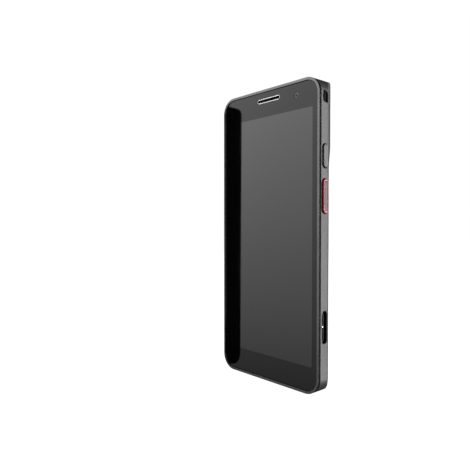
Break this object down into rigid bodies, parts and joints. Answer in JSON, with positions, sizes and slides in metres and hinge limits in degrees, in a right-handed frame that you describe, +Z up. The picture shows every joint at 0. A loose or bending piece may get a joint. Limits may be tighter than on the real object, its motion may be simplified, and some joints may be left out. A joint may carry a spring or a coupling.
{
  "type": "personal digital assistant",
  "caption": "Rugged handheld data terminal with a full-face touch screen, side scan buttons, a swollen rear scanner hump and a removable rear battery held by a sliding latch.",
  "frame": {"origin": "middle of the footprint, on the bottom end that it stands on", "axes": "+Z up along its length, +X to the right as the screen is read, +Y towards the back"},
  "size_m": [0.0742, 0.016, 0.16],
  "materials": {
    "housing_plastic": "fine matte texture, dark charcoal grey",
    "bezel_plastic": "satin, slightly smoother than the housing",
    "key_plastic": "satin",
    "scan_red": "glossy translucent red",
    "scan_pad_dark": "glossy, nearly black red",
    "cover_glass": "polished, black behind",
    "screen": "dark screen, switched off",
    "backlight_white": "white diffuser",
    "seal_rubber": "matte black",
    "chassis_metal": "die cast, satin",
    "steel": "bright steel",
    "mesh_grey": "fine grey mesh",
    "board_green": "solder mask",
    "module_black": "matte black",
    "scan_window_red": "dark red filter window",
    "camera_cover_black": "satin black",
    "lens_glass": "coated lens",
    "flash_white": "frosted diffuser",
    "label_paper": "pale yellow blank label with a white top",
    "mark_ink": "light grey",
    "copper": "copper",
    "gold": "gold plated",
    "contact_nickel": "bright nickel",
    "slider_grey": "light grey acetal",
    "cell_foil": "laminated foil",
    "part_beige": "moulded, beige"
  },
  "bodies": {
    "handset": {"rear_housing": "housing_plastic", "front_bezel": "bezel_plastic", "bezel_gasket": "seal_rubber", "cover_glass": "cover_glass", "display_panel": "screen", "backlight": "backlight_white", "mid_chassis": "chassis_metal", "chassis_screws": "steel", "housing_screws": "steel", "earpiece_grille": "mesh_grey", "earpiece_receiver": "module_black", "front_camera": "module_black", "main_board": "board_green", "board_shields": "steel", "scan_engine": "module_black", "scan_window": "scan_window_red", "scan_window_seal": "seal_rubber", "rear_camera": "module_black", "camera_cover": "camera_cover_black", "camera_lens_ring": "steel", "rear_lens": "lens_glass", "flash_lens": "flash_white", "rear_label": "label_paper", "contactless_mark": "mark_ink", "contactless_coil": "copper", "strap_clips": "steel", "accessory_contacts": "contact_nickel", "microphones": "part_beige", "battery_connector": "module_black", "card_socket": "steel", "port_board": "board_green", "usb_shell": "steel", "usb_tongue": "module_black", "dock_contacts": "gold", "loudspeaker": "module_black", "speaker_mesh": "mesh_grey", "vibration_motor": "steel", "side_switches": "part_beige", "side_flex": "copper", "side_port_inserts": "module_black", "side_port_pins": "gold", "lanyard_pin": "steel"},
    "scan_right": {"scan_button_right": "scan_red", "scan_pad_right": "scan_pad_dark"},
    "scan_left": {"scan_button_left": "scan_red", "scan_pad_left": "scan_pad_dark"},
    "power": {"power_button": "key_plastic"},
    "volume": {"volume_rocker": "key_plastic"},
    "battery": {"battery_case": "housing_plastic", "battery_cell": "cell_foil", "battery_guard_board": "board_green", "battery_pads": "gold", "latch_spring": "steel"},
    "latch": {"latch_thumb": "housing_plastic", "latch_slider": "slider_grey"}
  },
  "joints": [
    {"name": "scan_right_press", "type": "slide", "parent": "handset", "child": "scan_right", "axis": [-1, 0, 0], "range_m": [0, 0.00045], "stiffness_N_per_m": 400, "springref_m": -0.0008},
    {"name": "scan_left_press", "type": "slide", "parent": "handset", "child": "scan_left", "axis": [1, 0, 0], "range_m": [0, 0.00045], "stiffness_N_per_m": 400, "springref_m": -0.0008},
    {"name": "power_press", "type": "slide", "parent": "handset", "child": "power", "axis": [-1, 0, 0], "range_m": [0, 0.0003], "stiffness_N_per_m": 400, "springref_m": -0.0008},
    {"name": "volume_rock", "type": "hinge", "parent": "handset", "child": "volume", "pos_m": [-0.0346, -0.0036, 0.1216], "axis": [0, 1, 0], "range_deg": [-2, 2], "stiffness_Nm_per_rad": 0.02},
    {"name": "battery_lift", "type": "hinge", "parent": "handset", "child": "battery", "pos_m": [0, 0.003, 0.0202], "axis": [-1, 0, 0], "range_deg": [0, 30]},
    {"name": "latch_slide", "type": "slide", "parent": "battery", "child": "latch", "axis": [0, 0, -1], "range_m": [0, 0.002], "stiffness_N_per_m": 150, "springref_m": -0.002, "deforming": ["latch_spring"]}
  ]
}
